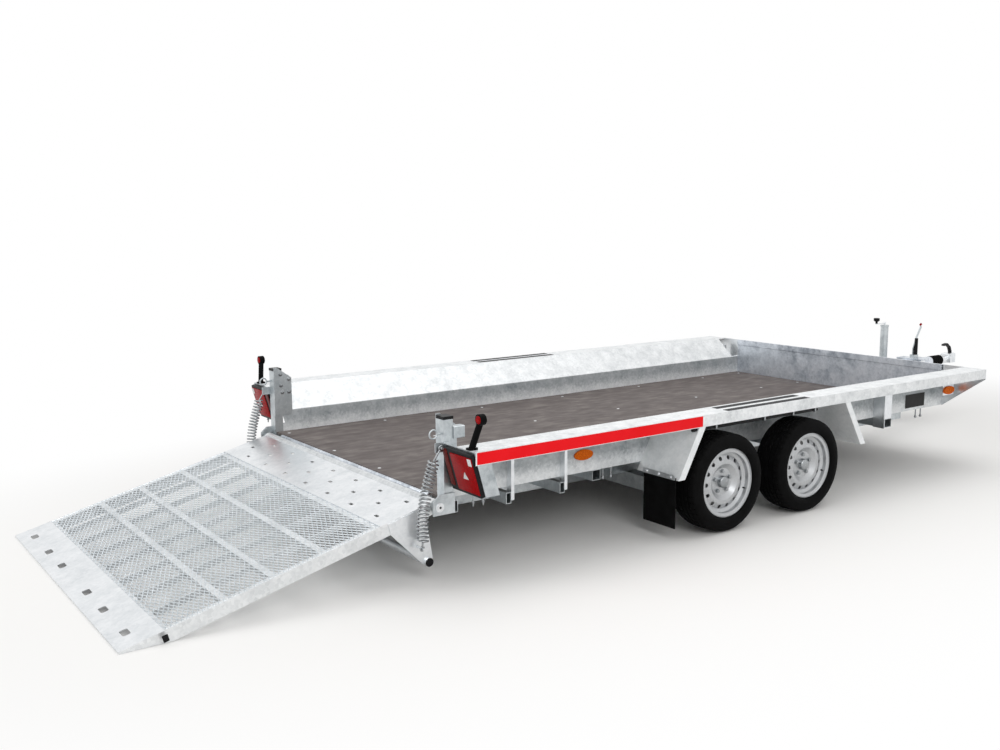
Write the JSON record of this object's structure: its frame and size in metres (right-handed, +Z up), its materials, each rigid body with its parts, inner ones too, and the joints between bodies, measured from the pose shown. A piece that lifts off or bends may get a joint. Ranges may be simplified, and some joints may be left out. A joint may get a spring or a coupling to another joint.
{
  "type": "plant trailer",
  "caption": "Low tandem-axle flatbed trailer with folded steel sides, a mesh loading ramp with springs, an overrun coupling and a jockey wheel.",
  "frame": {"origin": "on the ground under the middle of the overall length and width", "axes": "+X forward to the coupling, +Y to the trailer's left, +Z up"},
  "size_m": [7.0904, 2.475, 0.819],
  "materials": {
    "galvanised_steel": "hot-dip galvanised, pale with darker mottling",
    "floor_ply": "brown film-faced plywood, matt",
    "black_rubber": "matt black rubber",
    "tyre_rubber": "matt black tyre",
    "wheel_silver": "silver paint, satin",
    "spring_steel": "bare wire, satin",
    "red_lens": "red lamp lens, glossy",
    "amber_lens": "amber reflector, glossy",
    "black_plastic": "black moulded plastic"
  },
  "bodies": {
    "chassis": {"side_panel_left": "galvanised_steel", "side_panel_right": "galvanised_steel", "front_wall": "galvanised_steel", "front_plate": "galvanised_steel", "cross_members": "galvanised_steel", "rail_left": "galvanised_steel", "rail_right": "galvanised_steel", "outriggers_left": "galvanised_steel", "outriggers_right": "galvanised_steel", "wheel_guards_left": "galvanised_steel", "wheel_guards_right": "galvanised_steel", "post_left": "galvanised_steel", "post_right": "galvanised_steel", "latch_left": "galvanised_steel", "latch_right": "galvanised_steel", "lamp_panel_left": "galvanised_steel", "lamp_panel_right": "galvanised_steel", "axle_rear": "galvanised_steel", "axle_front": "galvanised_steel", "drawbar_left": "galvanised_steel", "drawbar_right": "galvanised_steel", "overrun_housing": "galvanised_steel", "coupling_head": "galvanised_steel", "handbrake": "galvanised_steel", "jockey_clamp": "galvanised_steel", "jockey_tube": "galvanised_steel", "jockey_crank": "galvanised_steel", "floor_board": "floor_ply", "mud_flap_left": "black_rubber", "tail_lamp_left": "red_lens", "marker_lamp_left": "black_rubber", "spring_left": "spring_steel", "mud_flap_right": "black_rubber", "tail_lamp_right": "red_lens", "marker_lamp_right": "black_rubber", "spring_right": "spring_steel", "post_caps": "black_plastic", "side_reflectors": "amber_lens", "bellows": "black_rubber", "coupling_handle": "black_plastic", "brake_strut": "black_plastic"},
    "wheel_rear_left": {"tyre_rear_left": "tyre_rubber", "rim_rear_left": "wheel_silver"},
    "wheel_rear_right": {"tyre_rear_right": "tyre_rubber", "rim_rear_right": "wheel_silver"},
    "wheel_front_left": {"tyre_front_left": "tyre_rubber", "rim_front_left": "wheel_silver"},
    "wheel_front_right": {"tyre_front_right": "tyre_rubber", "rim_front_right": "wheel_silver"},
    "ramp": {"ramp_frame": "galvanised_steel", "ramp_plate": "galvanised_steel", "ramp_mesh": "galvanised_steel", "ramp_tip": "galvanised_steel", "ramp_stand": "galvanised_steel"},
    "jockey_leg": {"jockey_leg": "galvanised_steel"},
    "jockey_fork": {"jockey_fork": "galvanised_steel"},
    "jockey_wheel": {"jockey_wheel": "black_rubber"}
  },
  "joints": [
    {"name": "wheel_rear_left_spin", "type": "hinge", "parent": "chassis", "child": "wheel_rear_left", "pos_m": [-0.49776, 1.14, 0.2625], "axis": [0, 1, 0], "continuous": true},
    {"name": "wheel_rear_right_spin", "type": "hinge", "parent": "chassis", "child": "wheel_rear_right", "pos_m": [-0.49776, -1.14, 0.2625], "axis": [0, 1, 0], "continuous": true},
    {"name": "wheel_front_left_spin", "type": "hinge", "parent": "chassis", "child": "wheel_front_left", "pos_m": [0.15324, 1.14, 0.2625], "axis": [0, 1, 0], "continuous": true},
    {"name": "wheel_front_right_spin", "type": "hinge", "parent": "chassis", "child": "wheel_front_right", "pos_m": [0.15324, -1.14, 0.2625], "axis": [0, 1, 0], "continuous": true},
    {"name": "ramp_hinge", "type": "hinge", "parent": "chassis", "child": "ramp", "pos_m": [-2.11476, 0, 0.347], "axis": [0, 1, 0], "range_deg": [0, 104.2], "deforming": ["spring_left", "spring_right"]},
    {"name": "jockey_slide", "type": "slide", "parent": "chassis", "child": "jockey_leg", "axis": [0, 0, 1], "range_m": [-0.08, 0.13]},
    {"name": "jockey_swivel", "type": "hinge", "parent": "jockey_leg", "child": "jockey_fork", "pos_m": [2.85524, 0.185, 0.222], "axis": [0, 0, 1], "continuous": true},
    {"name": "jockey_wheel_spin", "type": "hinge", "parent": "jockey_fork", "child": "jockey_wheel", "pos_m": [2.81524, 0.185, 0.1], "axis": [0, 1, 0], "continuous": true}
  ]
}
